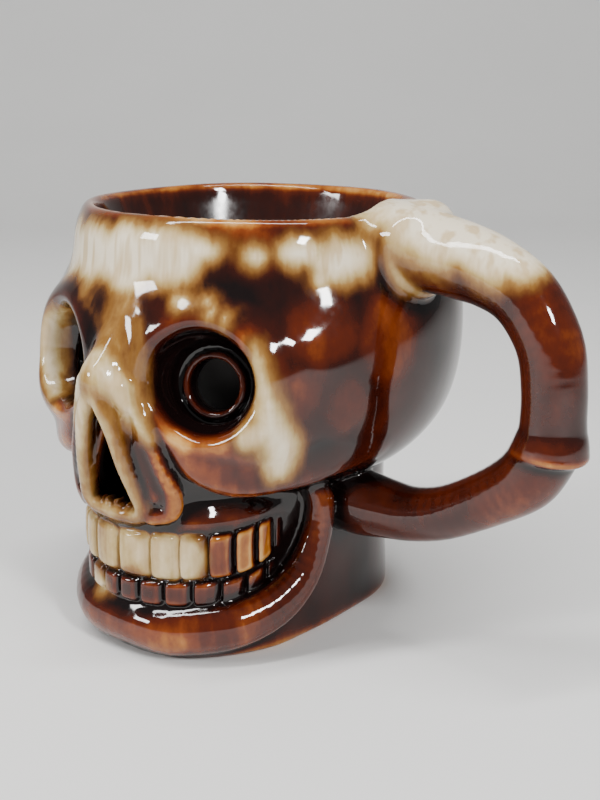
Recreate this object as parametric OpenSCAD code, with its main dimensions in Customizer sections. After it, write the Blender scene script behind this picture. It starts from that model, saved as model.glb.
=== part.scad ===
// Double-walled skull mug with a bone handle, slip-cast in earthenware and glazed.
// The face looks towards -Y, the handle stands out towards +X and the foot rests on z = 0.
// The origin is the centre of the rim's circle, dropped to the foot.

/* [Cranium] */
// Height from the foot to the rim
mug_h = 107.6; // [104:0.2:112]
// Outer radius of the rim
rim_r = 43; // [42:0.2:44]
// Radius of the cranium at its widest level
cranium_r = 54.4; // [53:0.2:56]
// Height of that widest level
cranium_z = 78.5; // [77:0.5:80]
// Thickness of the outer wall
shell_wall = 3.5; // [3:0.1:4]
// Thickness of the floor over the foot
floor_t = 4; // [3:0.5:5]

/* [Face] */
// Distance of an eye socket's centre from the middle plane
orbit_x = 23.2; // [22:0.2:25]
// Distance of an eye socket's centre in front of the rim's axis
orbit_y = 44; // [43:0.5:45]
// Height of an eye socket's centre
orbit_z = 71.8; // [70:0.2:74]
// Angle by which a socket looks to the side
orbit_yaw = 20.5; // [16:0.5:24]
// Angle by which a socket looks up
orbit_tilt = 8; // [5:0.5:11]
// Radius of the crest round a socket
orbit_r = 14.2; // [14:0.2:15]
// Radius of the round eye hole at the bottom of a socket
eye_hole_r = 6; // [5.4:0.1:6.2]
// Half the width of the nose opening at its sill
nose_half_w = 7.2; // [6:0.2:8]
// Height of the nose opening's sill
nose_sill_z = 40; // [39:0.5:41]
// Height of the nose opening's peak
nose_peak_z = 60.5; // [59:0.5:62]

/* [Jaws] */
// Height of the line where the two rows of teeth meet
bite_z = 21.6; // [21:0.1:22]
// Height of an upper tooth
upper_tooth_h = 11.8; // [11:0.2:13]
// Height of a lower tooth
lower_tooth_h = 7; // [6:0.2:7.4]
// Thickness of the rolled lower jaw at the chin
chin_roll = 13; // [12:0.2:14]

/* [Cup] */
// Thickness of the inner cup's wall
cup_wall = 3; // [2.5:0.1:3.2]
// Height of the inner cup's floor inside
cup_floor_z = 12; // [11:0.5:14]

/* [Handle] */
// Distance from the rim's axis to the middle of the handle's upright part
handle_x = 88.4; // [86:0.2:90]
// Thickness of the upper bone at its shaft
bone_d = 14.2; // [13:0.2:15]

/* [Hidden] */

glaze_brown = [0.26, 0.07, 0.03];
glaze_cream = [0.82, 0.72, 0.52];

// Grid of the sculpted surface: steps round the axis, drawn together towards the face, and levels.
around = 72;
levels = 36;
crowd = 22;
cranium_up = (mug_h - cranium_z) / sqrt(1 - pow(rim_r / cranium_r, 2));
cranium_down = 43;
cranium_square = 2.55;
face_bow_r = 73;
face_bow_y = 22;
foot_round = 2.2;
orbit_a = atan2(orbit_x, orbit_y);
eye_hole = [-0.6, -1.6];
bowl_centre = [-0.6, -0.4, 1.2];
bowl_radii = [12.8, 12.2, 13];
eye_ring_w = -9.4;
eye_ring_tube = 1.2;
brow_dent = 5.6;
brow_z = 91.5;
brow_reach = 10.5;
socket_rise = 2.6;
cheek_rise = 1.6;
nose_rise = 6.5;
nose_hole_y = -30;
nose_hole_depth = 34;
tooth_arch_y = -24;
tooth_arch_r = 24.9;
tooth_gap = 0.35;
tooth_soft = 1.4;
upper_proud = 2.1;
lower_proud = 1.7;
neck_front_y = -3;
neck_foot_r = 28.3;
neck_crease_r = 30.9;
cup_round = 10;
no_limit = 1000;
cup_rim_r = (rim_r + rim_r - shell_wall + 0.3) / 2;
bone_root_z = 99.8;
collar_r = 10.3;
collar_tube = 0.9;
collar_x = 49.4;
collar_lean = 27;

// Where the teeth meet, in mm along the arch from the middle.
upper_edges = [0, 9.2, 16.4, 23.4, 30.2, 36.6, 42.6, 47.2, 51.4];
lower_edges = [0, 6, 12.4, 19.4, 26.4, 33.2, 39.6, 45, 49.6];

// ---- Plain functions ----

function smooth(e0, e1, x) = let (t = min(1, max(0, (x - e0) / (e1 - e0)))) t * t * (3 - 2 * t);
function bump(d, w) = exp(-pow(d / w, 2));
function soft_max(a, b, k) =
    let (h = min(1, max(0, 0.5 + 0.5 * (a - b) / k))) b + (a - b) * h + k * h * (1 - h);
function soft_min(a, b, k) = -soft_max(-a, -b, k);

// Distance from the axis, in the direction (dx, dy), to a circle on the middle plane.
function to_circle(dx, dy, cy, r) = cy * dy + sqrt(r * r - cy * cy * dx * dx);

// The same to a slot outline whose round ends are centred at front and back.
function to_slot(dx, dy, r, front, back) =
    let (c = dy < 0 ? front : back, d = to_circle(dx, dy, c, r))
    d * dy * sign(c) > abs(c) ? d : r / abs(dx);

// A smooth curve through points [x, y, z, r]; t counts from 0 at the first point.
function at(p, i) = p[min(len(p) - 1, max(0, i))];
function curve(p, t) =
    let (
        i = min(len(p) - 2, floor(t)), f = t - i,
        a = at(p, i - 1), b = at(p, i), c = at(p, i + 1), d = at(p, i + 2)
    )
    0.5 * (2 * b + (c - a) * f + (2 * a - 5 * b + 4 * c - d) * f * f + (3 * b - a - 3 * c + d) * f * f * f);

// ---- The sculpted outside, as a distance from the axis ----

function ball_r(z) =
    let (up = (z - cranium_z) / cranium_up, down = (cranium_z - z) / cranium_down)
    z >= cranium_z ? cranium_r * sqrt(1 - up * up)
    : down < 1 ? cranium_r * pow(1 - pow(down, cranium_square), 1 / cranium_square)
    : 0;

function head_r(a, z) =
    soft_min(
        ball_r(z) - brow_dent * bump(z - brow_z, brow_reach) * smooth(-0.15, 0.85, cos(a)),
        to_circle(sin(a), -cos(a), face_bow_y, face_bow_r),
        7
    );

// The neck behind, the wall behind the teeth, and the foot that spreads under the jaw.
function neck_only_r(a, z) =
    let (t = smooth(2, 34, z), r = neck_foot_r + (neck_crease_r - neck_foot_r) * t)
    to_slot(sin(a), -cos(a), r, neck_front_y, 13.8 - 6.5 * t);
function arch_r(a, z) = to_slot(sin(a), -cos(a), tooth_arch_r, tooth_arch_y + 4 * smooth(8, 0, z), 1);
function foot_r(a, z) =
    let (top = 5 + 24 * smooth(30, 85, abs(a)), w = smooth(top + 5, top, z))
    w * to_slot(sin(a), -cos(a), neck_foot_r, -17.5, 6);
function column_r(a, z) =
    soft_max(soft_max(neck_only_r(a, z), arch_r(a, z), 3), foot_r(a, z), 4) - 30 * smooth(56, 80, z);

function features(a, z, x) =
    let (
        front = smooth(-0.1, 0.3, cos(a)),
        u = (abs(a) - orbit_a) * PI / 180 * norm([orbit_x, orbit_y]),
        v = (z - orbit_z) / 0.93,
        socket = socket_rise * bump(norm([u, v]) - orbit_r, 4),
        cheek = cheek_rise * bump(abs(a) - 37, 20) * bump(z - 57, 9),
        nose_w = 5 + 0.17 * max(0, 78 - z),
        nose = nose_rise * bump(x, nose_w) * smooth(86, 67, z) * smooth(33, 42, z)
    )
    front * (socket + cheek + nose);

function skull_r(a, z) =
    let (
        base = soft_max(head_r(a, z), column_r(a, z), 5),
        edge = z < foot_round ? foot_round - sqrt(pow(foot_round, 2) - pow(foot_round - z, 2)) : 0
    )
    base + features(a, z, base * sin(a)) - edge;

// The inside follows the outside at the wall's thickness, also where the outside slopes.
function kept_z(z) = max(foot_round, min(mug_h, z));
function hollow_r(a, z) =
    min([for (dz = [-shell_wall, 0, shell_wall]) skull_r(a, kept_z(z + dz))]) - shell_wall;

function turn(i) = let (t = 360 * i / around) (t > 180 ? t - 360 : t) - crowd * sin(t);

// A closed solid from rings of points, one ring to each height in zs.
module turned(zs, inside) {
    n = around;
    m = len(zs);
    rings = [for (z = zs) for (i = [0:n - 1])
        let (a = turn(i), r = inside ? hollow_r(a, z) : skull_r(a, z)) [r * sin(a), -r * cos(a), z]];
    polyhedron(
        points = concat(rings, [[0, 0, zs[0]], [0, 0, zs[m - 1]]]),
        faces = concat(
            [for (j = [0:m - 2]) for (i = [0:n - 1]) let (k = (i + 1) % n)
                [j * n + i, (j + 1) * n + i, (j + 1) * n + k]],
            [for (j = [0:m - 2]) for (i = [0:n - 1]) let (k = (i + 1) % n)
                [j * n + i, (j + 1) * n + k, j * n + k]],
            [for (i = [0:n - 1]) [m * n, i, (i + 1) % n]],
            [for (i = [0:n - 1]) [m * n + 1, (m - 1) * n + (i + 1) % n, (m - 1) * n + i]]
        )
    );
}

// ---- Shared shapes ----

module both_sides() {
    children();
    mirror([1, 0, 0]) children();
}

// A place on a socket's own axes: u outwards to the side, v up, w out of the face.
module in_orbit(u = 0, v = 0, w = 0) {
    translate([orbit_x, -orbit_y, orbit_z])
        rotate([90 - orbit_tilt, 0, orbit_yaw]) translate([u, v, w]) children();
}

module strand(p, steps, fn) {
    last = len(p) - 1;
    for (s = [0:steps - 1]) hull() for (e = [s, s + 1]) {
        q = curve(p, last * e / steps);
        translate([q[0], q[1], q[2]]) sphere(r = q[3], $fn = fn);
    }
}

// The ridges that frame the nose opening, and the wings beside them that run down from the nose bone.
module nose_ridges() {
    both_sides() {
        strand(
            [
                [0.8, -55.7, nose_peak_z + 7.5, 2.5], [4.7, -55, nose_peak_z - 1, 2.2],
                [8.3, -51.2, nose_sill_z + 4.5, 2.3], [8.4, -49.6, nose_sill_z - 1.2, 2.4],
                [0, -50, nose_sill_z - 3, 2]
            ],
            8, 12
        );
        strand(
            [
                [5, -52.6, nose_peak_z + 8.5, 3.2], [11.8, -49.4, nose_peak_z - 4.5, 2.4],
                [15.2, -46.6, nose_sill_z + 4, 2.5], [11, -48.2, nose_sill_z - 1.8, 2.4]
            ],
            5, 10
        );
    }
}

// Heights of the outside's rings: close together over the rounded edge of the foot.
function ring_z(j) =
    j < 2 ? foot_round * j / 3 : foot_round + (mug_h - foot_round) * (j - 2) / (levels - 2);

module outside() {
    turned([for (j = [0:levels]) ring_z(j)], false);
    nose_ridges();
}

module socket_bowl(grow) {
    in_orbit(bowl_centre[0], bowl_centre[1], bowl_centre[2])
        scale([for (r = bowl_radii) r + grow]) sphere(r = 1, $fn = 24);
}

// The raised ring round an eye hole, on the bottom of its socket.
module eye_ring() {
    in_orbit(eye_hole[0], eye_hole[1], eye_ring_w)
        rotate_extrude($fn = 24) translate([eye_hole_r + 1, 0]) circle(r = eye_ring_tube, $fn = 6);
}

module nose_hole() {
    waist_z = nose_sill_z + 8;
    waist_w = nose_half_w - 1.4;
    peak_w = 1.6;
    translate([0, nose_hole_y, 0]) rotate([90, 0, 0]) linear_extrude(nose_hole_depth) polygon([
        [-nose_half_w, nose_sill_z], [nose_half_w, nose_sill_z], [waist_w, waist_z],
        [peak_w, nose_peak_z], [-peak_w, nose_peak_z], [-waist_w, waist_z]
    ]);
}

// ---- Cup ----

function cup_r(z) = 20.5 + 6 * smooth(10, 78, z) + (rim_r - 28.6) * smooth(64, 116, z);
function cup_side(z, t) = min(cup_r(z) + t, t > 0 ? cup_rim_r : no_limit);
function cup_line(t) =
    let (z0 = cup_floor_z + cup_round, r = cup_round + t, x0 = cup_side(z0, t), steps = 18)
    concat(
        [[0, cup_floor_z - t]],
        [for (a = [0:15:75]) [x0 - r * (1 - sin(a)), z0 - r * cos(a)]],
        [for (j = [0:steps]) let (z = z0 + (mug_h - z0) * j / steps) [cup_side(z, t), z]]
    );

module cup_form() {
    rotate_extrude($fn = 84) polygon(concat(cup_line(cup_wall), [[0, mug_h]]));
}

// ---- Teeth ----

// The arch is a half circle in front and runs straight back beside the neck, which swells out.
function arch_turn(s, r) = min(90, s / r * 180 / PI);
function arch_back(s, r) = max(0, s - r * PI / 2);
function arch_wall(back) =
    back > 0 ? max(tooth_arch_r, sqrt(pow(neck_crease_r, 2) - pow(tooth_arch_y + back - neck_front_y, 2)))
    : tooth_arch_r;

// One tooth between two places along the arch. The rows rise and the teeth get lower towards the back.
module tooth(s0, s1, z0, tall, proud) {
    s = (s0 + s1) / 2;
    h = tall * (1 - 0.28 * smooth(34, 52, s));
    rise = 3.6 * smooth(28, 54, s) + (tall - h) / 2;
    back = arch_back(s, tooth_arch_r + proud);
    face_r = arch_wall(back) + proud - 0.9 * smooth(36, 52, s);
    half = (s1 - s0) / 2 - tooth_gap;
    root = 4;
    inset = 0.8;
    translate([0, tooth_arch_y + back, z0 + rise]) rotate([0, 0, arch_turn(s, tooth_arch_r + proud)]) {
        hull() for (u = [-1, 1], w = [tooth_gap + tooth_soft, h - tooth_gap - tooth_soft])
            translate([u * (half - tooth_soft), tooth_soft + 0.12 * half - face_r, w])
                rotate([0, 45, 0]) sphere(r = tooth_soft, $fn = 8);
        translate([inset - half, 1.5 * inset - face_r, inset])
            cube([2 * (half - inset), root, h - 2 * inset]);
    }
}

module tooth_row(edges, z0, h, proud) {
    difference() {
        both_sides() for (i = [0:len(edges) - 2]) tooth(edges[i], edges[i + 1], z0, h, proud);
        outside();
        jaw_roll();
    }
}

// ---- Lower jaw ----

module jaw_roll() {
    r = chin_roll / 2;
    both_sides() strand(
        [
            [0, -44.9, r + 1.5, r], [12, -43, r + 1.6, r], [22, -35.5, r + 2.7, r - 0.3],
            [28, -25.5, 12.5, 5.6], [30.8, -17.5, 19, 4.6], [32.2, -13.5, 28, 3.7],
            [32.4, -12, 36, 3.2], [31, -12.5, 41, 2.8]
        ],
        12, 16
    );
}

// ---- Handle ----

// A bone in the handle's middle plane: one tube through rings set square to its curve.
module bone(p, steps) {
    last = len(p) - 1;
    n = 24;
    centres = [for (s = [0:steps]) curve(p, last * s / steps)];
    slopes = [for (s = [0:steps]) curve(p, last * s / steps + 0.02) - curve(p, last * s / steps - 0.02)];
    rings = [for (s = [0:steps]) for (i = [0:n - 1])
        let (q = centres[s], d = slopes[s], w = norm([d[0], d[2]]), c = q[3] * cos(360 * i / n))
        [q[0] + c * d[2] / w, q[3] * sin(360 * i / n), q[2] - c * d[0] / w]];
    polyhedron(
        points = rings,
        faces = concat(
            [for (s = [0:steps - 1]) for (i = [0:n - 1]) let (k = (i + 1) % n)
                [s * n + i, (s + 1) * n + i, (s + 1) * n + k, s * n + k]],
            [[for (i = [0:n - 1]) i]],
            [[for (i = [n - 1:-1:0]) steps * n + i]]
        )
    );
}

// A knuckle of the bone's end: a short rod with round ends, let into the skull.
module knuckle(y, z, r) {
    hull() for (x = [46.4, 50.4]) translate([x, y, z]) sphere(r = r, $fn = 20);
}

// The thin raised line round the upper bone's root, leaning with the skull's side.
module collar() {
    translate([collar_x, 0, bone_root_z]) rotate([0, 90 - collar_lean, 0])
        rotate_extrude($fn = 32) translate([collar_r, 0]) circle(r = collar_tube, $fn = 8);
}

module upper_bone_form() {
    r = bone_d / 2;
    x = handle_x;
    bone(
        [
            [42.6, 0, 100.2, r + 3.4], [48, 0, 100.2, r + 3.3], [52.4, 0, 99.9, r + 2.8],
            [57, 0, 99.3, r + 1.8], [64, 0, 98.3, r + 1.4], [71, 0, 96.6, r + 0.9],
            [x - 8.8, 0, 92.2, r + 0.5], [x - 2.2, 0, 82.8, r + 0.1], [x - 0.2, 0, 72.5, r], [x, 0, 65.5, r],
            [x, 0, 60.3, r + 1.3], [x, 0, 57, r + 1]
        ],
        20
    );
    knuckle(4.5, 104, 6.6);
    knuckle(-4, 103, 6.5);
    collar();
}

module lower_bone_form() {
    r = bone_d / 2 - 0.8;
    x = handle_x;
    bone(
        [
            [26, 0, 34, r + 1.4], [36, 0, 34.4, r + 1.7], [44, 0, 34.4, r + 0.8], [52, 0, 34.7, r + 0.2],
            [62, 0, 37.6, r], [x - 15.4, 0, 43.6, r + 0.2], [x - 6, 0, 50.3, r + 1],
            [x - 1.2, 0, 57.6, r + 1.1]
        ],
        14
    );
}

// ---- Nodes ----

module skull_shell() {
    hollow_top = mug_h - 10;
    rings = 13;
    hole_depth = 24;
    color(glaze_brown) difference() {
        union() {
            difference() {
                outside();
                both_sides() socket_bowl(0);
            }
            both_sides() eye_ring();
        }
        cup_form();
        difference() {
            turned([for (j = [0:rings]) floor_t + (hollow_top - floor_t) * j / rings], true);
            both_sides() socket_bowl(shell_wall);
        }
        both_sides() in_orbit(eye_hole[0], eye_hole[1], -hole_depth)
            cylinder(r = eye_hole_r, h = hole_depth, $fn = 24);
        nose_hole();
    }
}

module lower_jaw() {
    color(glaze_brown) difference() {
        jaw_roll();
        outside();
    }
}

module upper_teeth() {
    color(glaze_cream) tooth_row(upper_edges, bite_z, upper_tooth_h, upper_proud);
}

module lower_teeth() {
    color(glaze_brown) tooth_row(lower_edges, bite_z - lower_tooth_h, lower_tooth_h, lower_proud);
}

module inner_cup() {
    color(glaze_brown) rotate_extrude($fn = 84) polygon(
        concat(cup_line(cup_wall), [for (i = [len(cup_line(0)) - 1:-1:0]) cup_line(0)[i]])
    );
}

module handle_upper_bone() {
    color(glaze_cream) difference() {
        upper_bone_form();
        outside();
    }
}

module handle_lower_bone() {
    color(glaze_brown) difference() {
        lower_bone_form();
        outside();
        jaw_roll();
        upper_bone_form();
    }
}

skull_shell();
lower_jaw();
upper_teeth();
lower_teeth();
inner_cup();
handle_upper_bone();
handle_lower_bone();
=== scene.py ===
"""A skull mug with a bone handle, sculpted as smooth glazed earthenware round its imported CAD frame."""

import math
from concurrent.futures import ThreadPoolExecutor

import bpy
import numpy as np
import openvdb
from mathutils import Matrix, Vector


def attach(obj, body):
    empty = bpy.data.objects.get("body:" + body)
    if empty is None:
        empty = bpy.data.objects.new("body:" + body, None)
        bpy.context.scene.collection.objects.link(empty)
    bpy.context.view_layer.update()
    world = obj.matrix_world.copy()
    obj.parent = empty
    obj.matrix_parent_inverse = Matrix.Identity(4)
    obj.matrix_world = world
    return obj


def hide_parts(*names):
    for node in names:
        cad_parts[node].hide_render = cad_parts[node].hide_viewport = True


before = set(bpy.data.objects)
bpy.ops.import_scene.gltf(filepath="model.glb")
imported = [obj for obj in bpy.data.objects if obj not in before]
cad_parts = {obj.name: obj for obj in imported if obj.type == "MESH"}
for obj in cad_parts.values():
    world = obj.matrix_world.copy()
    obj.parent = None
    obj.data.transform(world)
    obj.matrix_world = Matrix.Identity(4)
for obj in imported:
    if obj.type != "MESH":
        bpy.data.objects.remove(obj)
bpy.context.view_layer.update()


# ---------------------------------------------------------------- plain functions on arrays
FLOAT = np.float32  # every place is in millimetres until a mesh is made


def soft_min(a, b, k):
    """The smaller of two distances, rounded over a width k where they cross."""
    h = np.clip(0.5 + 0.5 * (b - a) / k, 0, 1)
    return b + (a - b) * h - k * h * (1 - h)


def soft_max(a, b, k):
    """The larger of two distances, rounded over a width k where they cross."""
    return -soft_min(-a, -b, k)


def smooth(low, high, x):
    """From 0 where x is at low to 1 where it is at high, with no corner at either end."""
    t = np.clip((x - low) / (high - low), 0, 1)
    return t * t * (3 - 2 * t)


def bump(distance, width):
    """A swelling that is 1 in the middle and has nearly gone two widths away."""
    return np.exp(-((distance / width) ** 2))


def mirrored(p):
    """Both halves of the face are worked out on the +X side."""
    q = p.copy()
    q[:, 0] = np.abs(q[:, 0])
    return q


def ellipsoid(p, centre, radii):
    """Distance to an upright ellipsoid: true near its surface, only a guide far away."""
    q = (p - np.asarray(centre, FLOAT)) / np.asarray(radii, FLOAT)
    g = q / np.asarray(radii, FLOAT)
    near = np.sqrt((q * q).sum(-1))
    return near * (near - 1) / (np.sqrt((g * g).sum(-1)) + 1e-6)


def rod(p, a, b, ra, rb):
    """A straight rod with round ends whose radius goes from ra to rb."""
    a, b = np.asarray(a, FLOAT), np.asarray(b, FLOAT)
    d = b - a
    t = np.clip(((p - a) @ d) / (d @ d), 0, 1)
    return np.sqrt(((p - a - t[:, None] * d) ** 2).sum(-1)) - (ra + (rb - ra) * t)


def curve(points, steps):
    """A smooth curve through (x, y, z, radius) points, steps to a span."""
    q = np.asarray(points, float)
    q = np.vstack([2 * q[0] - q[1], q, 2 * q[-1] - q[-2]])
    line = []
    for a, b, c, d in zip(q, q[1:], q[2:], q[3:]):
        for t in np.arange(steps) / steps:
            line.append(
                0.5 * (2 * b + (c - a) * t + (2 * a - 5 * b + 4 * c - d) * t**2
                       + (3 * b - a - 3 * c + d) * t**3)
            )
    return np.array(line + [q[-2]])


def strand(p, points, steps, k):
    """A rope of rods along a smooth curve, blended over k."""
    line = curve(points, steps)
    out = None
    for a, b in zip(line, line[1:]):
        d = rod(p, a[:3], b[:3], a[3], b[3])
        out = d if out is None else soft_min(out, d, k)
    return out


def slot_outline(x, y, front, back, radius):
    """Distance to an upright column whose outline is a slot with round ends on the middle plane."""
    along = y - np.clip(y, front, back)
    return np.sqrt(x * x + along * along) - radius


# ---------------------------------------------------------------- the skull
MUG_H = 107.6  # foot to lip
LIP_ROUND = 1.3
RIM_R = 43.0
CRANIUM_R = 54.4
CRANIUM_Z = 78.5  # where the cranium is widest
CRANIUM_UP = (MUG_H - CRANIUM_Z) / math.sqrt(1 - (RIM_R / CRANIUM_R) ** 2)
CRANIUM_DOWN = 43.0
CRANIUM_SQUARE = 2.55  # 2 would be an ellipse; more is fuller low down
BROW_DENT, BROW_DENT_Z, BROW_DENT_TALL = 5.4, 92.0, 10.5  # the forehead's hollow over the brows
FACE_ROUND, FACE_ROUND_Y = 73.0, 22.0  # a wide drum that the front of the head is flattened to

SHELL_WALL = 3.5
CUP_WALL = 3.0
FLOOR_T = 4.0
DRINK_FLOOR_Z = 12.0
CUP_TOP_Z = 104.8  # the cup ends here, inside the shell's lip

ORBIT = np.array((23.2, -44.0, 71.8), FLOAT)  # the middle of the +X eye socket
ORBIT_YAW = math.radians(20.5)
ORBIT_TILT = math.radians(8)
ORBIT_R = 14.2  # from there to the top of the socket's crest
HOLE_U, HOLE_V, HOLE_R = -0.6, -1.6, 6.2  # the hole in the socket, from the socket's middle
RING_R, RING_GROOVE_R, RING_DEPTH = 7.0, 9.0, 9.2  # the raised ring round the hole, and its groove

NOSE_TOP_Z, NOSE_SILL_Z = 60.6, 39.8  # the pointed top and the sill of the nose hole
NOSE_BACK_Y = -30.0

ARCH_Y = -24.0  # the middle of the round part of the tooth arch
ARCH_WALL = 24.9  # its radius at the gums
BITE_Z = 21.6
UPPER_TALL, LOWER_TALL = 11.8, 6.9
UPPER_PROUD, LOWER_PROUD = 2.1, 1.7
TOOTH_DEEP = 3.0  # half of a tooth's thickness, most of it in the gum
TOOTH_GAP = 0.28
TOOTH_ROUND = 1.4
UPPER_EDGES = (0, 9.2, 16.4, 23.4, 30.2, 36.6, 42.6, 47.2, 51.2)  # along the arch from the middle
LOWER_EDGES = (0, 6.0, 12.4, 19.4, 26.4, 33.2, 39.6, 45.0, 49.6)


def orbit_axes(p):
    """Distances from a socket's centre: u to the side, v up and w out of the face."""
    d = mirrored(p) - ORBIT
    level = math.cos(ORBIT_TILT)
    w = np.array((math.sin(ORBIT_YAW) * level, -math.cos(ORBIT_YAW) * level, math.sin(ORBIT_TILT)), FLOAT)
    u = np.array((math.cos(ORBIT_YAW), math.sin(ORBIT_YAW), 0), FLOAT)
    return d @ u, d @ np.cross(w, u), d @ w


def unevenness(p):
    """The hand-finished surface is never quite true: slow waves, at most a quarter of a millimetre."""
    x, y, z = p.T
    slow = np.sin(x * 0.105 + 1.3) * np.sin(y * 0.12 + 0.4) * np.sin(z * 0.11 + 2.1)
    quick = np.sin(x * 0.27 + y * 0.19 + 0.7) * np.sin(z * 0.31 - y * 0.11 + 1.9)
    return 0.17 * slow + 0.06 * quick


def cranium(p):
    """The ball of the head: an ellipse above its widest level and a fuller curve below it."""
    x, y, z = p.T
    y, z = y - 0.2, z - CRANIUM_Z
    height = np.where(z > 0, CRANIUM_UP, CRANIUM_DOWN).astype(FLOAT)
    power = np.where(z > 0, 2.0, CRANIUM_SQUARE).astype(FLOAT)
    across = np.sqrt(x * x + y * y) / CRANIUM_R + 1e-6
    up = np.abs(z) / height + 1e-6
    near = (across**power + up**power) ** (1 / power)
    slope = np.hypot((across / near) ** (power - 1) / CRANIUM_R, (up / near) ** (power - 1) / height)
    return (near - 1) / slope


def head(p):
    """The cranium with the dent over the brows and the flattened front."""
    x, y, z = p.T
    front = smooth(-0.15, 0.85, -y / (np.hypot(x, y) + 1e-6))
    d = cranium(p) + BROW_DENT * bump(z - BROW_DENT_Z, BROW_DENT_TALL) * front
    return soft_max(d, np.hypot(x, y - FACE_ROUND_Y) - FACE_ROUND, 7.0)


def column(p):
    """Neck, the wall behind the teeth and the foot that spreads under the jaw."""
    x, y, z = p.T
    t = smooth(2, 34, z)
    neck = slot_outline(x, y, -3.0, 13.8 - 6.5 * t, 28.3 + 2.6 * t)
    gum = 0.9 * bump(z - 35.5, 3.0) - 1.4 * bump(z - 41.5, 3.5)
    arch = slot_outline(x, y, ARCH_Y + 4 * smooth(8, 0, z), 0.0, ARCH_WALL + gum)
    foot = slot_outline(x, y, -17.5, 6.0, 28.3)
    foot = soft_max(foot, z - 5.5 - 0.85 * np.clip(y + 34, 0, 30), 3.0)
    d = soft_min(soft_min(neck, arch, 4.0), foot, 4.0)
    return soft_max(soft_max(d, z - 58.0, 4.0), -z, 2.2)


# Lines through (x, y, z, radius) points, most of them on the +X side only.
NOSE_BONE = [(0, -46.0, 80.0, 3.4), (0, -49.6, 76.0, 3.9), (0, -52.8, 71.6, 4.6), (0, -53.6, 69.2, 4.8)]
NOSE_RIDGE = [
    (0.8, -55.7, 68.0, 2.5), (3.0, -55.6, 64.0, 2.3), (4.7, -55.0, 59.5, 2.1), (6.7, -53.4, 51.5, 2.1),
    (8.3, -51.2, 44.5, 2.2), (9.0, -49.6, 39.6, 2.3), (6.3, -49.6, 37.4, 2.0), (0.0, -50.0, 37.0, 1.9),
]
NOSE_WING = [
    (5.0, -52.6, 69.0, 3.2), (9.2, -50.8, 62.0, 2.5), (11.8, -49.4, 56.0, 2.3), (13.9, -48.2, 50.0, 2.3),
    (15.4, -46.6, 44.0, 2.4), (14.6, -46.4, 39.6, 2.5), (11.0, -48.4, 38.2, 2.3),
]
CHEEK_ROLL = [
    (16.0, -43.2, 56.5, 3.8), (20.5, -42.0, 51.4, 4.3), (27.5, -37.6, 49.0, 4.8), (34.8, -29.0, 50.2, 5.0),
    (39.5, -19.0, 52.4, 5.0), (42.0, -8.0, 55.0, 4.5),
]


def cheeks_and_crests(p):
    """The head with the crest round each socket, the cheekbones, and the roll under them."""
    q = mirrored(p)
    u, v, w = orbit_axes(p)
    crest = np.hypot(np.hypot(u, v / 0.93) - ORBIT_R, w + 3.9) - 4.2
    d = soft_min(head(p), crest, 5.5)
    d = soft_min(d, ellipsoid(q, (26.5, -31.5, 59.5), (14.5, 12.5, 11.0)), 5.0)
    return soft_min(d, strand(q, CHEEK_ROLL, 3, 1.5), 3.5)


def with_nose(p, d):
    """The face d with the bridge of the nose, its wings with a dimple in each, and the open ridges."""
    q = mirrored(p)
    d = soft_min(d, strand(p, NOSE_BONE, 3, 1.5), 4.0)
    d = soft_min(d, strand(q, NOSE_WING, 4, 0.2), 1.8)
    d = soft_min(d, rod(q, (6.4, -51.2, 62.0), (11.2, -47.6, 44.0), 2.6, 3.2), 1.5)
    d = soft_max(d, -ellipsoid(q, (8.6, -54.2, 59.6), (1.5, 2.0, 4.4)), 1.2)
    return soft_min(d, strand(q, NOSE_RIDGE, 4, 0.12), 1.2)


def with_sockets(p, d):
    """The face d with its two bowls, and in each a ring in a groove round the hole."""
    u, v, w = orbit_axes(p)
    bowl = ellipsoid(np.stack([u, v, w], -1), (-0.6, -0.4, 1.2), (12.8, 12.2, 13.0))
    d = soft_max(d, -bowl, 4.0)
    out = np.hypot(u - HOLE_U, v - HOLE_V)
    d = soft_max(d, 1.3 - np.hypot(out - RING_GROOVE_R, w + RING_DEPTH), 2.6)
    return soft_min(d, np.hypot(out - RING_R, w + RING_DEPTH) - 1.15, 0.8)


def skull(p):
    """The outside of the whole skull with no lip, jaw, teeth or handle, and no hole through it."""
    upper_jaw = soft_min(column(p), ellipsoid(mirrored(p), (0, -41.2, 50), (15.0, 11.8, 18.5)), 4.0)
    d = soft_min(cheeks_and_crests(p), upper_jaw, 2.2)
    d = with_sockets(p, with_nose(p, d)) - unevenness(p)
    return np.maximum(d, -p[:, 2])


def cup_radius(z):
    """The cup widens gently from its floor and flares more in its upper third."""
    return 20.5 + 6.0 * smooth(10, 78, z) + (RIM_R - 28.6) * smooth(64, 116, z)


def drink_space(p):
    """The inside of the cup: below 0 where the drink goes."""
    x, y, z = p.T
    side = (np.hypot(x, y) - cup_radius(z)) * 0.95
    return soft_max(side, DRINK_FLOOR_Z - z, 12.0)


def eye_hole(p):
    """A straight round hole through the bottom of each socket."""
    u, v, w = orbit_axes(p)
    return np.maximum(np.hypot(u - HOLE_U, v - HOLE_V) - HOLE_R, np.abs(w + 11) - 13)


def nose_hole(p):
    """A pointed opening with a ragged sill, wider behind so that its edge is thin."""
    x, y, z = p.T
    t = np.clip((NOSE_TOP_Z - z) / 20.2, 0, 1)
    half = 0.5 + 6.6 * t**0.85 + 0.45 * np.clip(y + 50.5, 0, 6)
    ragged = 0.7 * np.sin(x * 1.9 + 0.5) * smooth(6, 1, np.abs(x)) + 0.5 * np.sin(x * 3.7)
    sill = NOSE_SILL_Z + ragged - 0.4 * np.clip(y + 48.5, 0, 5) - z
    peak = z - NOSE_TOP_Z - 0.4 * np.clip(y + 52, 0, 6)
    d = soft_max(np.abs(x) - half, np.maximum(peak, sill), 1.6) * 0.8
    return np.maximum(d, y - NOSE_BACK_Y)


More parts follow.
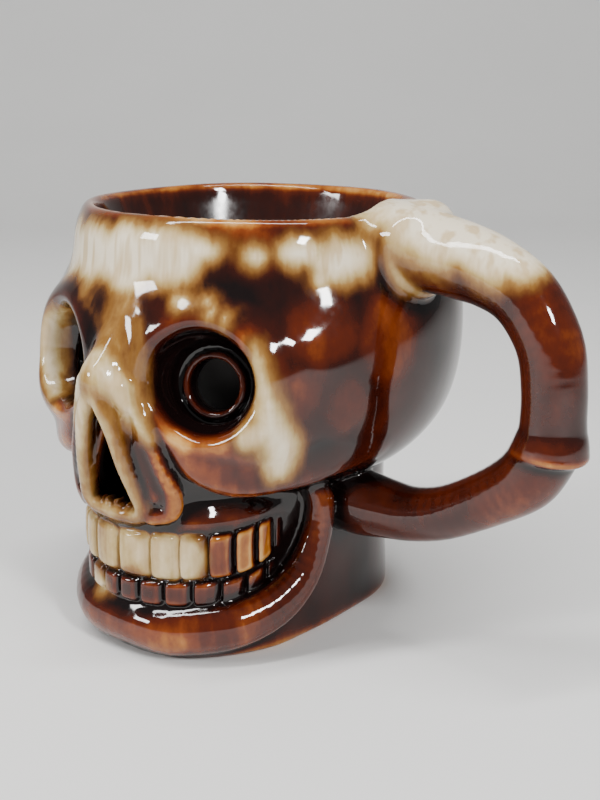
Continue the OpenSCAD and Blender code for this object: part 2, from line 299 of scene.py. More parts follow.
def shell(p):
    """The outer casting: holes through it, a hollow inside, and the whole lip of the mug."""
    x, y, z = p.T
    outer = skull(p)
    turn = np.arctan2(x, -y)
    lip = MUG_H + 0.25 * np.sin(2 * turn + 1.0) + 0.12 * np.sin(5 * turn) - z
    d = soft_max(outer, -lip, LIP_ROUND)
    d = soft_max(d, -drink_space(p), 1.5)
    d = soft_max(d, -eye_hole(p), 0.9)
    d = soft_max(d, -nose_hole(p), 1.2)
    hollow = soft_max(soft_max(outer + SHELL_WALL, z - 99.0, 3.0), FLOOR_T - z, 2.0)
    taken = np.minimum(hollow, np.maximum(drink_space(p) - CUP_WALL + 0.4, z - 103.0))
    return np.maximum(d, -taken)


PROUD = 0.02  # how far a joined member stands over the surface that it runs out on
SUNK = 1.3  # how deep it is rooted in the wall behind


def joined(own, wall, k):
    """A member with its fillet on the wall: it runs out thin over the wall and is rooted in it."""
    d = soft_min(own, wall, k) - PROUD
    d = np.maximum(d, -(wall + SUNK))
    return np.maximum(d, own - wall - 0.96 * k)


def cup(p):
    """The inner wall: a skin round the drink, joined to the shell under the lip."""
    z = p[:, 2]
    space = drink_space(p)
    return np.maximum(soft_max(-space - PROUD, space - CUP_WALL, 0.5), z - CUP_TOP_Z)


JAW_LINE = [
    (0, -44.9, 8.0, 6.5), (12, -43.0, 8.1, 6.5), (22, -35.5, 9.2, 6.2), (28.0, -25.5, 12.5, 5.6),
    (30.8, -17.5, 19, 4.6), (32.2, -13.5, 28, 3.7), (32.4, -12.0, 36, 3.2), (31.0, -12.5, 41, 2.8),
]


def jaw_own(p):
    """The roll of the lower jaw by itself, round the front and up to the cheeks."""
    return strand(mirrored(p), JAW_LINE, 4, 1.0) - unevenness(p)


def teeth_own(p, edges, low, high, proud):
    """One row of teeth: rounded tablets round the arch, each between two distances from the middle."""
    x, y, z = p.T
    side, behind = np.abs(x), np.maximum(y - ARCH_Y, 0)
    face_r = ARCH_WALL + proud
    r = np.hypot(side, np.minimum(y - ARCH_Y, 0))
    along = np.arctan2(side, -np.minimum(y - ARCH_Y, 0)) * np.clip(r, face_r - 3, face_r + 2) + behind
    edges = np.array(edges, FLOAT)
    i = np.clip(np.searchsorted(edges, along) - 1, 0, len(edges) - 2)
    half = (edges[i + 1] - edges[i]) / 2 - TOOTH_GAP
    u = along - (edges[i] + edges[i + 1]) / 2
    rise = 3.6 * smooth(28, 54, along)
    tall = (high - low) / 2 * (1 - 0.28 * smooth(34, 52, along))
    z = z - (low + high) / 2 - rise
    sunk = 1.1 * smooth(36, 52, along)
    a = np.abs(u) - half + TOOTH_ROUND
    b = np.abs(z) - tall + 0.3 + TOOTH_ROUND
    crown = 0.035 * u * u + 0.012 * z * z
    c = np.abs(r - face_r + sunk + TOOTH_DEEP) - TOOTH_DEEP + TOOTH_ROUND + crown
    outside = np.sqrt(np.maximum(a, 0) ** 2 + np.maximum(b, 0) ** 2 + np.maximum(c, 0) ** 2)
    return outside + np.minimum(np.maximum(a, np.maximum(b, c)), 0) - TOOTH_ROUND


def teeth_upper_own(p):
    """The upper row by itself, from the bite up."""
    return teeth_own(p, UPPER_EDGES, BITE_Z, BITE_Z + UPPER_TALL, UPPER_PROUD)


def teeth_lower_own(p):
    """The lower row by itself, from just under the bite down."""
    top = BITE_Z - 0.1
    return teeth_own(p, LOWER_EDGES, top - LOWER_TALL, top, LOWER_PROUD)


UPPER_BONE = [
    (40, 0, 100.2, 10.4), (48, 0, 100.2, 10.3), (53, 0, 99.8, 9.5), (58, 0, 99.2, 8.8), (64, 0, 98.3, 8.5),
    (71, 0, 96.6, 8.0), (79.6, 0, 92.2, 7.6), (86.2, 0, 82.8, 7.2), (88.2, 0, 72.5, 7.1),
    (88.4, 0, 65.5, 7.1), (88.4, 0, 60.8, 7.5), (88.4, 0, 57.5, 8.5),
]
COLLAR_R, COLLAR_Z = 9.9, 99.8  # the thin roll of clay round the root of the upper bone
BONE_START_R = 42.0  # nothing of it lies nearer to the axis of the mug
LOWER_BONE = [
    (31, 0, 34.2, 7.6), (37, 0, 34.4, 8.0), (44, 0, 34.4, 7.1), (52, 0, 34.7, 6.5), (62, 0, 37.6, 6.3),
    (73, 0, 43.6, 6.5), (82.4, 0, 50.3, 7.3), (87.2, 0, 57.6, 7.4),
]


def upper_bone_own(p):
    """The upper bone: a collar and two knuckles at the rim, a bent shaft and a flared lower end."""
    x, y, z = p.T
    d = strand(p, UPPER_BONE, 4, 0.8)
    collar = np.hypot(np.hypot(y, z - COLLAR_Z) - COLLAR_R, skull(p) - 1.5) - 0.8
    d = soft_min(d, collar, 1.4)
    d = soft_min(d, rod(p, (46.5, 4.6, 104.0), (50.6, 4.4, 104.4), 6.6, 6.6), 1.8)
    d = soft_min(d, rod(p, (46.0, -4.0, 103.0), (49.8, -3.8, 103.0), 6.4, 6.6), 1.8)
    d = soft_max(d, BONE_START_R - np.hypot(x, y), 1.5)
    return soft_max(d, (56.8 - z) * 0.97 - (x - 88.4) * 0.12, 1.6) - unevenness(p)


def lower_bone_own(p):
    """The lower bone by itself, from inside the neck up to the end of the upper one."""
    return strand(p, LOWER_BONE, 4, 0.8) - unevenness(p)


def wall_and_jaw(p):
    """What the lower teeth stand on."""
    return soft_min(skull(p), jaw_own(p), 2.0)


# ---------------------------------------------------------------- where the pale glaze lies
FACE_CREAM = [  # ellipsoids on the forehead and brow: centre and radii
    ((-25.0, -37.0, 97.2), (9.5, 8.0, 7.2)), ((-13.0, -42.0, 98.0), (13.0, 8.0, 7.8)),
    ((-1.0, -44.8, 98.0), (11.0, 8.0, 8.2)), ((10.5, -43.8, 99.2), (10.0, 8.0, 6.8)),
    ((19.2, -40.0, 101.0), (4.4, 6.0, 3.0)),
    ((30.2, -33.2, 99.8), (2.8, 3.0, 2.2)),
    ((42.6, -18.6, 98.4), (6.6, 8.2, 6.2)), ((37.5, -26.5, 100.6), (5.5, 6.0, 3.6)),
    ((40.6, -22.6, 94.6), (3.0, 3.6, 3.6)),
    ((16.8, -44.8, 89.7), (1.7, 2.0, 1.2)), ((23.2, -42.6, 89.9), (1.4, 2.0, 1.4)),
    ((24.6, -42.4, 87.6), (1.2, 2.0, 1.8)), ((27.8, -42.0, 86.4), (0.7, 1.6, 1.5)),
    ((-8.0, -48.5, 16.5), (4.0, 3.0, 2.2)),
]
TEETH_CREAM = [((-7.0, -47.0, 28.4), (17.0, 9.0, 7.0)), ((12.6, -45.0, 27.2), (9.0, 9.0, 6.4))]
NOSE_CREAM = [
    (0.5, -54.6, 76.5, 1.8), (3.6, -54.6, 72.5, 3.6), (7.2, -53.8, 67.5, 3.0), (10.2, -52.8, 62.0, 1.9),
    (12.6, -51.4, 58.0, 0.9),
]
RIDGE_CREAM = [
    (1.6, -57.2, 66.0, 1.8), (3.2, -57.2, 63.0, 2.2), (4.9, -56.6, 58.5, 2.2), (6.8, -55.0, 51.5, 1.5),
    (8.4, -52.8, 44.5, 1.2), (8.4, -51.4, 39.6, 1.1), (5.6, -51.6, 38.0, 1.0), (0.0, -51.8, 37.6, 1.2),
]
EYE_CREAM = [
    (35.8, -40.5, 81.0, 0.6), (37.4, -39.8, 74.5, 1.4), (38.8, -39.2, 68.0, 2.2), (39.0, -38.6, 62.5, 3.2),
    (39.8, -36.0, 58.0, 3.8), (39.0, -35.2, 53.8, 3.2), (37.8, -34.6, 51.0, 1.8),
]
BROW_VEIL = [  # a thin tan wash from the forehead down over the bridge of the nose
    (-12.0, -47.5, 91.5, 3.5), (-3.0, -50.0, 89.0, 5.0), (2.0, -51.0, 83.5, 5.0), (5.5, -52.0, 78.0, 4.0),
    (9.5, -51.5, 72.0, 2.6), (11.5, -51.0, 66.0, 1.6),
]
EYE_LOBE = [(38.6, -40.0, 62.0, 2.6), (34.8, -42.8, 60.2, 1.8)]
FAR_EYE_CREAM = [
    (-28.6, -39.8, 81.0, 1.4), (-33.4, -39.8, 77.0, 2.0), (-35.2, -39.8, 71.5, 2.5),
    (-33.2, -40.4, 65.0, 2.2), (-29.0, -43.0, 60.5, 1.0),
]
BONE_CREAM = [
    (41.5, -7.0, 107.0, 3.6), (45.5, -1.0, 106.5, 9.6), (56.0, 0.0, 106.6, 10.8),
    (66.0, 0.0, 105.6, 10.8), (74.0, 0.0, 102.6, 9.8), (77.0, 0.0, 101.0, 8.2),
]
VEIL_DEPTH = 0.9  # mm past the edge of the cover, so the wash stays thin and tan
ROUND_THE_BACK = [  # bearing from the front in degrees, height, half width and half height
    (112, 98.5, 11, 7.5), (131, 101.0, 5, 3.5), (152, 98.0, 12, 7.0), (178, 99.5, 14, 6.0),
    (205, 97.5, 12, 8.5), (232, 101.5, 6, 3.6), (255, 98.0, 13, 7.5), (284, 99.0, 10, 6.5),
    (168, 89.0, 2.4, 3.2), (218, 87.5, 2.2, 3.4),
]


WARM = [  # where the brown glaze runs thin and amber: centre and radii
    ((45.0, -27.0, 85.0), (9.0, 9.0, 9.0)), ((50.5, -11.0, 80.0), (6.0, 10.0, 11.0)),
    ((27.0, -38.0, 40.5), (10.0, 8.0, 4.5)), ((34.0, -27.0, 41.0), (7.0, 9.0, 5.0)),
    ((18.0, -40.0, 103.0), (9.0, 6.0, 6.0)), ((27.0, -35.0, 104.0), (9.0, 6.0, 4.5)),
    ((30.0, -34.0, 100.5), (6.5, 6.0, 6.0)), ((16.0, -45.0, 88.5), (6.0, 5.0, 3.6)),
    ((25.0, -43.0, 88.0), (5.0, 5.0, 5.0)), ((33.5, -41.0, 81.0), (3.0, 4.0, 6.5)),
    ((42.4, -32.6, 69.0), (3.0, 4.0, 6.0)), ((18.0, -48.0, 56.5), (5.0, 4.0, 4.0)),
    ((26.0, -45.0, 53.0), (7.0, 5.0, 3.6)), ((34.5, -40.0, 53.5), (5.0, 5.0, 4.0)),
    ((20.0, -45.0, 36.0), (4.0, 4.0, 3.0)), ((5.0, -50.0, 6.5), (24.0, 6.0, 4.6)),
    ((48.0, -22.0, 66.0), (5.0, 6.0, 7.0)), ((-20.0, -47.0, 53.0), (10.0, 6.0, 5.0)),
    ((-38.0, -30.0, 70.0), (6.0, 8.0, 12.0)), ((0.0, 55.0, 76.0), (16.0, 8.0, 9.0)),
    ((-46.0, 20.0, 60.0), (9.0, 12.0, 7.0)), ((34.0, 38.0, 62.0), (10.0, 10.0, 8.0)),
]


def warmth(p):
    """From 0 to 1 in the amber patches."""
    total = np.zeros(len(p), FLOAT)
    for centre, radii in WARM:
        total = np.maximum(total, smooth(2.0, -2.5, ellipsoid(p, centre, radii)))
    return total


def cream_distance(p):
    """Distance in mm from the edge of the pale glaze: below 0 where it covers the clay."""
    q = mirrored(p)
    away = [ellipsoid(p, centre, radii) for centre, radii in FACE_CREAM]
    tooth = 5 * (teeth_upper_own(p) - 0.2)
    away += [np.maximum(ellipsoid(p, centre, radii), tooth) for centre, radii in TEETH_CREAM]
    away += [strand(p, line, 2, k) for line, k in
             ((EYE_CREAM, 1.5), (EYE_LOBE, 1.5), (FAR_EYE_CREAM, 1.5), (BONE_CREAM, 2.0))]
    away.append(strand(q, NOSE_CREAM, 2, 1.5))
    away.append(np.maximum(strand(p, BROW_VEIL, 2, 2.0), VEIL_DEPTH))
    away.append(strand(q, RIDGE_CREAM, 2, 1.0) + 0.8 * smooth(-4, 4, p[:, 0]))
    away.append(np.hypot(np.hypot(p[:, 1], p[:, 2] - COLLAR_Z) - COLLAR_R, skull(p) - 2.2) + 0.2)
    for bearing, height, wide, tall in ROUND_THE_BACK:
        turn = math.radians(bearing)
        centre = np.array((46 * math.sin(turn), -46 * math.cos(turn), height), FLOAT)
        flat = np.stack([(p - centre) @ (math.cos(turn), math.sin(turn), 0), p[:, 2] - height,
                         (p - centre) @ (math.sin(turn), -math.cos(turn), 0)], -1).astype(FLOAT)
        away.append(ellipsoid(flat, (0, 0, 0), (wide, tall, 9.0)))
    out = away[0]
    for d in away[1:]:
        out = soft_min(out, d, 1.6)
    return out


def outside(p):
    """The whole glazed surface in one: every member with its fillets, the lip and the holes."""
    d = soft_min(wall_and_jaw(p), teeth_upper_own(p), 0.8)
    d = soft_min(d, teeth_lower_own(p), 0.8)
    d = soft_max(d, p[:, 2] - MUG_H, LIP_ROUND)
    d = soft_max(d, -drink_space(p), 1.5)
    d = soft_min(d, upper_bone_own(p), 3.0)
    d = soft_min(d, lower_bone_own(p), 1.6)
    return soft_max(soft_max(d, -eye_hole(p), 0.9), -nose_hole(p), 1.2)


def bend(p, reach):
    """How the surface bends over a reach in mm: above 0 on edges, below 0 in hollows."""
    total = -6 * outside(p)
    for axis in np.eye(3, dtype=FLOAT):
        total = total + outside(p + reach * axis) + outside(p - reach * axis)
    return total / (reach * reach)


def glaze_run(p):
    """How thick the dark glaze lies: near 0 where it has run thin over an edge, near 1 where it pools."""
    fine, broad, wide = bend(p, 0.9), bend(p, 2.4), bend(p, 5.5)
    thin = 0.26 * np.tanh(1.1 * (fine - 0.10)) + 0.20 * np.tanh(2.6 * (broad - 0.12))
    u, v, w = orbit_axes(p)
    reach = np.hypot(u - HOLE_U, v - HOLE_V)
    socket = 0.34 * smooth(13.0, 9.5, reach) * smooth(0.5, -4.5, w) * smooth(-30, -20, w)
    # Darker round the upper half of each socket's crest.
    brow = 0.16 * bump(np.hypot(u, v) - ORBIT_R, 6.0) * smooth(-3.0, 7.0, v - 0.6 * u) * smooth(-20, -8, w)
    # The lower row of teeth is made darker all over.
    teeth = 0.12 * smooth(0.8, -0.2, teeth_lower_own(p))
    pooled = 0.20 * smooth(0.0, -0.16, wide) + socket + brow + teeth - 0.17 * warmth(p)
    return 0.5 - thin - 0.05 * np.tanh(7 * (wide - 0.1)) + pooled


# ---------------------------------------------------------------- from distance to mesh
def in_parts(rule, points):
    """A rule on many points, worked out on all cores a part at a time."""
    parts = np.array_split(points, max(1, len(points) // 50000))
    with ThreadPoolExecutor(4) as pool:
        return np.concatenate(list(pool.map(rule, parts)))


BLOCK = 8  # voxels along a block, the unit in which the space near a surface is filled in


def sampled(shape, low, high, voxel):
    """The distance on a grid, worked out in full only in the blocks near the surface."""
    blocks = np.ceil((high - low) / voxel / BLOCK).astype(int)
    half = (BLOCK - 1) / 2 * voxel
    along = [low[i] + np.arange(blocks[i]) * BLOCK * voxel + half for i in range(3)]
    middles = np.stack(np.meshgrid(*along, indexing="ij"), -1).reshape(-1, 3).astype(FLOAT)
    reach = BLOCK * voxel * 0.5 * math.sqrt(3) * 1.5 + voxel
    coarse = np.clip(shape(middles), -reach, reach).reshape(blocks)
    grid = coarse.repeat(BLOCK, 0).repeat(BLOCK, 1).repeat(BLOCK, 2).astype(FLOAT)
    near = np.argwhere(np.abs(coarse) < reach)
    inside = np.stack(np.meshgrid(*[np.arange(BLOCK)] * 3, indexing="ij"), -1).reshape(-1, 3)
    cells = (near[:, None, :] * BLOCK + inside).reshape(-1, 3)
    grid[cells[:, 0], cells[:, 1], cells[:, 2]] = in_parts(shape, (low + cells * voxel).astype(FLOAT))
    return grid


def slope(shape, points, step):
    """Which way the distance grows, and how fast."""
    moved = [shape(points + step * axis) - shape(points - step * axis) for axis in np.eye(3, dtype=FLOAT)]
    return np.stack(moved, -1) / (2 * step)


def settled(shape, points, voxel):
    """Points moved straight onto the surface, by at most 0.6 of a voxel."""
    g = slope(shape, points, voxel * 0.3)
    move = np.clip(shape(points) / ((g * g).sum(-1) + 1e-6), -0.6 * voxel, 0.6 * voxel)
    return (points - move[:, None] * g).astype(FLOAT)


def meshed(shape, low, high, voxel):
    """Points in millimetres and four-sided faces on the surface where the distance is 0."""
    low, high = np.array(low, float) - 2 * voxel, np.array(high, float) + 2 * voxel
    grid = sampled(shape, low, high, voxel)
    volume = openvdb.FloatGrid(float(grid.max()))
    volume.copyFromArray(grid)
    points, triangles, quads = volume.convertToPolygons(isovalue=0.0, adaptivity=0.0)
    points = (np.asarray(points) * voxel + low).astype(FLOAT)
    for _ in range(2):
        points = in_parts(lambda p: settled(shape, p, voxel), points)
    return points, np.asarray(quads).tolist() + np.asarray(triangles).tolist()


def piece(name, node, shape, skin, box, voxel):
    """A mesh object on that surface, with the true normals of its skin and the run of its glaze."""
    points, faces = meshed(shape, box[0], box[1], voxel * (1))
    mesh = bpy.data.meshes.new(name)
    mesh.from_pydata((points / 1000).tolist(), [], faces)
    mesh.shade_smooth()
    normals = in_parts(lambda p: slope(skin, p, 0.12), points)
    normals /= np.linalg.norm(normals, axis=1)[:, None] + 1e-9
    mesh.normals_split_custom_set_from_vertices(normals.tolist())
    well = smooth(1.0, -0.4, drink_space(points))
    under_rim = smooth(105, 102, points[:, 2])
    glaze_values = {
        "cream": in_parts(cream_distance, points),
        "run": in_parts(glaze_run, points),
        "well": well,
        # Where the surface lies in the hollow between the walls: the mask for its painted shade.
        "buried": smooth(-1.2, -2.6, in_parts(skull, points)) * under_rim * (1 - well),
    }
    for title, values in glaze_values.items():
        mesh.attributes.new(title, "FLOAT", "POINT").data.foreach_set("value", values.astype(FLOAT))
    made = bpy.data.objects.new(name, mesh)
    bpy.context.scene.collection.objects.link(made)
    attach(made, "root")
    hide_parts(node)
    return made


def beyond(own, wall, k):
    """A member as it is meshed, and the unbroken skin that its normals are taken from."""
    return lambda p: joined(own(p), wall(p), k), lambda p: soft_min(own(p), wall(p), k)


def rimmed(p):
    """The skull with its lip and the inside of the cup."""
    d = soft_max(skull(p), p[:, 2] - MUG_H, LIP_ROUND)
    return soft_max(d, -drink_space(p), 1.5)


def wall_jaw_and_bone(p):
    """What the lower bone runs out on."""
    return np.minimum(wall_and_jaw(p), upper_bone_own(p))


# The width of each fillet is in mm; each box holds its member, and the last number is the grid's step.
jaw_shape, jaw_skin = beyond(jaw_own, skull, 2.0)
upper_shape, upper_skin = beyond(teeth_upper_own, skull, 0.8)
lower_shape, lower_skin = beyond(teeth_lower_own, wall_and_jaw, 0.8)
bone_shape, bone_skin = beyond(upper_bone_own, rimmed, 3.0)
low_bone_shape, low_bone_skin = beyond(lower_bone_own, wall_jaw_and_bone, 1.6)
members = [
    piece("skull_body", "skull_shell", shell, shell, ((-60, -62, -1), (60, 58, 110)), 1.02),
    piece("drinking_cup", "inner_cup", cup, cup, ((-44, -44, 7), (44, 44, 107)), 0.95),
    piece("mandible", "lower_jaw", jaw_shape, jaw_skin, ((-42, -54, 0), (42, 0, 48)), 0.6),
    piece("teeth_upper", "upper_teeth", upper_shape, upper_skin,
          ((-30, -53, 20), (30, -10, 39)), 0.45),
    piece("teeth_lower", "lower_teeth", lower_shape, lower_skin,
          ((-30, -53, 13), (30, -10, 27)), 0.45),
    piece("bone_upper", "handle_upper_bone", bone_shape, bone_skin,
          ((30, -16, 50), (100, 16, 114)), 0.7),
    piece("bone_lower", "handle_lower_bone", low_bone_shape, low_bone_skin,
          ((26, -12, 20), (100, 12, 68)), 0.6),
]


# ---------------------------------------------------------------- the glaze
class Nodes:
    """Short calls for a material's nodes."""

    def __init__(self, name):
        self.material = bpy.data.materials.new(name)
        self.material.use_nodes = True
        self.tree = self.material.node_tree
        self.shader = self.tree.nodes["Principled BSDF"]

    def new(self, kind, **settings):
        node = self.tree.nodes.new(kind)
        for key, value in settings.items():
            setattr(node, key, value)
        return node

    def put(self, socket, value):
        """Link another node's output to an input, or set the input to a plain value."""
        if isinstance(value, bpy.types.NodeSocket):
            self.tree.links.new(value, socket)
        else:
            socket.default_value = value

    def math(self, operation, a, b=0.0, clamp=False):
        node = self.new("ShaderNodeMath", operation=operation, use_clamp=clamp)
        self.put(node.inputs[0], a)
        self.put(node.inputs[1], b)
        return node.outputs[0]

    def attribute(self, name):
        return self.new("ShaderNodeAttribute", attribute_name=name).outputs["Fac"]

    def noise(self, per_metre, stretch=(1, 1, 1), detail=3.0, rough=0.5, offset=0.0):
        """Noise from -1 to 1, its grains a metre over per_metre, in the mug's own coordinates."""
        where = self.new("ShaderNodeTexCoord").outputs["Object"]
        grid = self.new("ShaderNodeMapping")
        self.put(grid.inputs["Vector"], where)
        grid.inputs["Scale"].default_value = stretch
        grid.inputs["Location"].default_value = (offset, offset * 0.7, offset * 1.3)
        node = self.new("ShaderNodeTexNoise")
        self.put(node.inputs["Vector"], grid.outputs[0])
        node.inputs["Scale"].default_value = per_metre
        node.inputs["Detail"].default_value = detail
        node.inputs["Roughness"].default_value = rough
        return self.spread(node.outputs["Fac"])

    def spread(self, value):
        """Raw noise is mostly 0.25 to 0.75: this opens it to -1 to 1."""
        node = self.new("ShaderNodeMapRange", clamp=False)
        self.put(node.inputs["Value"], value)
        for key, number in (("From Min", 0.25), ("From Max", 0.75), ("To Min", -1.0), ("To Max", 1.0)):
            node.inputs[key].default_value = number
        return node.outputs[0]

    def ramp(self, value, stops):
        """The colour at a value from 0 to 1, between (value, colour) stops."""
        node = self.new("ShaderNodeValToRGB")
        self.put(node.inputs[0], value)
        band = node.color_ramp
        while len(band.elements) < len(stops):
            band.elements.new(0.5)
        for element, (place, colour) in zip(band.elements, stops):
            element.position = place
            element.color = (*colour, 1)
        return node.outputs[0]

    def range(self, value, low, high, to_low=0.0, to_high=1.0):
        """A smooth step from to_low at low to to_high at high."""
        node = self.new("ShaderNodeMapRange", interpolation_type="SMOOTHSTEP")
        self.put(node.inputs["Value"], value)
        for key, number in (("From Min", low), ("From Max", high), ("To Min", to_low), ("To Max", to_high)):
            node.inputs[key].default_value = number
        return node.outputs[0]

    def mix(self, share, a, b):
        """Colour a where the share is 0, colour b where it is 1."""
        node = self.new("ShaderNodeMix", data_type="RGBA")
        self.put(node.inputs["Factor"], share)
        self.put(node.inputs["A"], a)
        self.put(node.inputs["B"], b)
        return node.outputs["Result"]


THIN_TO_POOLED = [
    (0.04, (0.60, 0.33, 0.10)), (0.15, (0.38, 0.135, 0.020)), (0.27, (0.18, 0.036, 0.0055)),
    (0.39, (0.078, 0.0105, 0.0024)), (0.54, (0.030, 0.0042, 0.0018)), (0.76, (0.0055, 0.0024, 0.0024)),
]
PALE_TO_BROWN = [
    (0.08, (0.85, 0.745, 0.56)), (0.26, (0.71, 0.575, 0.36)), (0.40, (0.50, 0.36, 0.15)),
    (0.53, (0.29, 0.150, 0.040)), (0.68, (0.15, 0.058, 0.013)), (0.86, (0.07, 0.015, 0.004)),
]
PALE_GRAIN = [(0.15, (0.66, 0.53, 0.33)), (0.55, (1, 1, 1))]
IN_THE_DARK = (0.010, 0.006, 0.005, 1)  # painted shade for the unlit inside of the hollow between the walls
GLAZE_IOR = 1.52
GLOSS = (0.035, 0.085)  # roughness of the coat, least and most


def drip_glaze():
    """One runny coat: brown by how thick it lies, with the pale glaze over it, painted shade in the hollow
    between the walls, and a rippled surface.
    """
    n = Nodes("drip_glaze")
    streaks = n.noise(260, (1, 1, 0.10), 2.0, 0.6, 0.3)
    runs = n.noise(75, (1, 1, 0.22), 3.0, 0.5, 1.7)
    clouds = n.noise(38, (1, 1, 0.7), 3.0, 0.5, 4.1)
    mottle = n.noise(160, (1, 1, 0.6), 4.0, 0.6, 2.3)
    specks = n.noise(700, (1, 1, 0.7), 2.0, 0.6, 5.9)

    run = n.attribute("run")
    thick = n.math("ADD", run, n.math("MULTIPLY", clouds, 0.13))
    thick = n.math("ADD", thick, n.math("MULTIPLY", runs, 0.10))
    thick = n.math("ADD", thick, n.math("MULTIPLY", mottle, 0.065))
    thick = n.math("ADD", thick, n.math("MULTIPLY", specks, 0.02))
    in_well = n.math("MULTIPLY", n.attribute("well"), n.math("MULTIPLY", streaks, 0.10))
    thick = n.math("ADD", thick, n.math("MULTIPLY", n.attribute("well"), -0.10))
    thick = n.math("ADD", thick, in_well, clamp=True)
    brown = n.ramp(thick, THIN_TO_POOLED)

    edge = n.math("ADD", n.attribute("cream"), n.math("MULTIPLY", runs, 1.5))
    edge = n.math("ADD", edge, n.math("MULTIPLY", streaks, 1.0))
    edge = n.math("ADD", edge, n.math("MULTIPLY", mottle, 0.8))
    edge = n.math("ADD", edge, n.math("MULTIPLY", n.attribute("well"), 12.0))
    pale = n.ramp(n.range(edge, -6.0, 6.0), PALE_TO_BROWN)
    grain = n.ramp(n.range(streaks, -1.0, 1.0), PALE_GRAIN)
    tinted = n.new("ShaderNodeMix", data_type="RGBA", blend_type="MULTIPLY")
    tinted.inputs["Factor"].default_value = 0.7
    n.put(tinted.inputs["A"], pale)
    n.put(tinted.inputs["B"], grain)
    covered = n.range(edge, 3.8, 0.8)
    colour = n.mix(covered, brown, tinted.outputs["Result"])
    # Painted shade: the surface in the hollow between the walls is coloured near black.
    colour = n.mix(n.attribute("buried"), colour, IN_THE_DARK)
    n.put(n.shader.inputs["Base Color"], colour)
    rough = n.range(specks, -1.0, 1.0, *GLOSS)
    rough = n.math("ADD", rough, n.math("MULTIPLY", n.attribute("buried"), 0.5))
    n.put(n.shader.inputs["Roughness"], rough)
    n.shader.inputs["IOR"].default_value = GLAZE_IOR

    # The ripples come from noise alone, because values kept on the mesh would facet the reflections.
    height = n.math("MULTIPLY", runs, 0.02)
    waves = n.noise(42, (1, 1, 0.7), 0.0, 0.5, 4.1)
    ripples = n.noise(120, (1, 1, 0.6), 0.0, 0.5, 2.3)
    height = n.math("ADD", height, n.math("MULTIPLY", waves, 0.12))
    height = n.math("ADD", height, n.math("MULTIPLY", ripples, 0.014))
    bump_node = n.new("ShaderNodeBump")
    bump_node.inputs["Strength"].default_value = 1.0
    bump_node.inputs["Distance"].default_value = 0.001
    n.put(bump_node.inputs["Height"], height)
    n.put(n.shader.inputs["Normal"], bump_node.outputs[0])
    return n.material


glaze = drip_glaze()
for member in members:
    member.data.materials.append(glaze)


# ---------------------------------------------------------------- the floor and the light
AZIMUTH = math.radians(41)  # the camera stands this far round from the face, towards the handle


def sweep(front, back, radius, height, width):
    """One pale sheet: the floor and, far behind the mug, the backdrop that it curves up into."""
    bend_steps = 24
    turns = [math.pi / 2 * i / bend_steps for i in range(bend_steps + 1)]
    curve_up = [(back + radius * math.sin(t), radius * (1 - math.cos(t))) for t in turns]
    line = [(-front, 0.0)] + curve_up + [(back + radius, height)]
    away = Vector((-math.sin(AZIMUTH), math.cos(AZIMUTH), 0))
    side = Vector((math.cos(AZIMUTH), math.sin(AZIMUTH), 0))
    corners = [tuple(away * y + side * s * width + Vector((0, 0, z))) for y, z in line for s in (-1, 1)]
    mesh = bpy.data.meshes.new("floor")
    mesh.from_pydata(corners, [], [(2 * i, 2 * i + 1, 2 * i + 3, 2 * i + 2) for i in range(len(line) - 1)])
    mesh.shade_smooth()
    return bpy.data.objects.new("floor", mesh)


floor = sweep(1.2, 0.75, 0.5, 2.0, 1.8)
bpy.context.scene.collection.objects.link(floor)
paper = Nodes("paper")
tone = paper.range(paper.noise(9, detail=4), -1, 1)
paper.put(paper.shader.inputs["Base Color"],
          paper.ramp(tone, [(0, (0.86, 0.855, 0.84)), (1, (0.88, 0.875, 0.86))]))
paper.shader.inputs["Roughness"].default_value = 0.7
floor.data.materials.append(paper.material)

sky = bpy.data.worlds.new("sky")
bpy.context.scene.world = sky
sky.use_nodes = True
sky_light = sky.node_tree.nodes["Background"]
sky_light.inputs["Color"].default_value = (1, 1, 1, 1)
sky_light.inputs["Strength"].default_value = 0.22


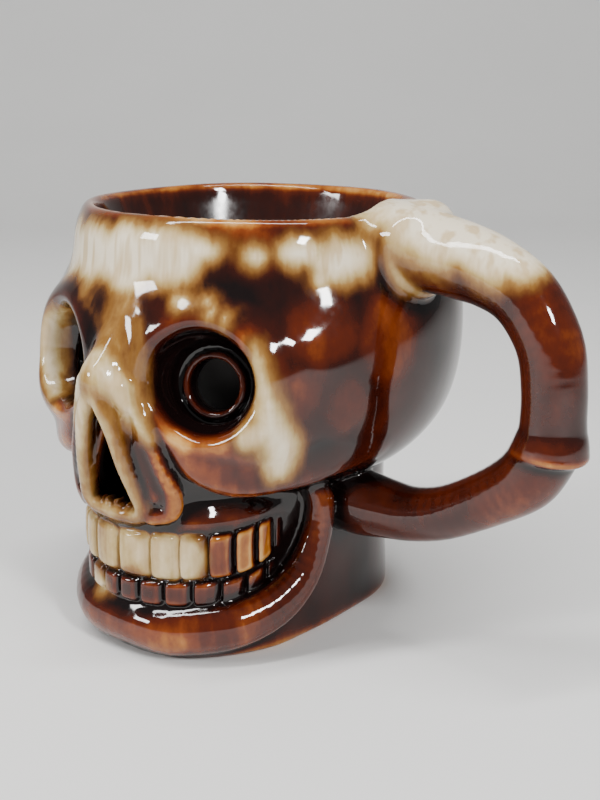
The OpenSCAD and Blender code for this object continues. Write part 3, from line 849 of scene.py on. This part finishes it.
def soft_box(name, place, long_way, size, watts, aim=(0.01, 0.0, 0.06)):
    """An area light at a place, turned to the mug, with its longer side along long_way."""
    light = bpy.data.lights.new(name, "AREA")
    light.shape = "RECTANGLE"
    light.size, light.size_y = size
    light.energy = watts
    back_to_light = (Vector(place) - Vector(aim)).normalized()
    up = back_to_light.cross(Vector(long_way)).normalized()
    along = up.cross(back_to_light)
    made = bpy.data.objects.new(name, light)
    made.matrix_world = Matrix.Translation(place) @ Matrix((along, up, back_to_light)).transposed().to_4x4()
    bpy.context.scene.collection.objects.link(made)


soft_box("window", (0.80, -0.32, 0.60), (0.25, 0.35, 1.0), (0.20, 0.10), 7.0)
soft_box("overhead", (-0.02, -0.28, 0.98), (0.48, 0.88, 0.0), (1.15, 0.09), 11.0)
soft_box("front", (-0.45, -0.85, 0.40), (1.0, -0.5, 0.0), (0.24, 0.16), 5.0)

# ---------------------------------------------------------------- the camera
DISTANCE = 0.335  # from the rim's axis, in metres
HEIGHT = 0.108 + 0.03669  # the rim and how far the camera stands above it
PITCH = math.radians(15.046)
YAW = math.radians(2.135)  # the mug stands left of the middle of the picture
ROLL = math.radians(0.4)
FOCAL_PER_HEIGHT = 1.63175  # focal length over the height of the picture
SENSOR = 36

lens = bpy.data.cameras.new("camera")
lens.lens = FOCAL_PER_HEIGHT * SENSOR
lens.clip_start = 0.005
camera = bpy.data.objects.new("camera", lens)
bpy.context.scene.collection.objects.link(camera)
bpy.context.scene.camera = camera
towards_camera = Vector((math.sin(AZIMUTH), -math.cos(AZIMUTH), 0))
to_the_right = Vector((math.cos(AZIMUTH), math.sin(AZIMUTH), 0))
level = to_the_right * math.sin(YAW) - towards_camera * math.cos(YAW)
view = level * math.cos(PITCH) - Vector((0, 0, math.sin(PITCH)))
camera.rotation_mode = "QUATERNION"
camera.rotation_quaternion = (
    view.to_track_quat("-Z", "Y") @ Matrix.Rotation(ROLL, 4, "Z").to_quaternion()
)
camera.location = towards_camera * DISTANCE + Vector((0, 0, HEIGHT))
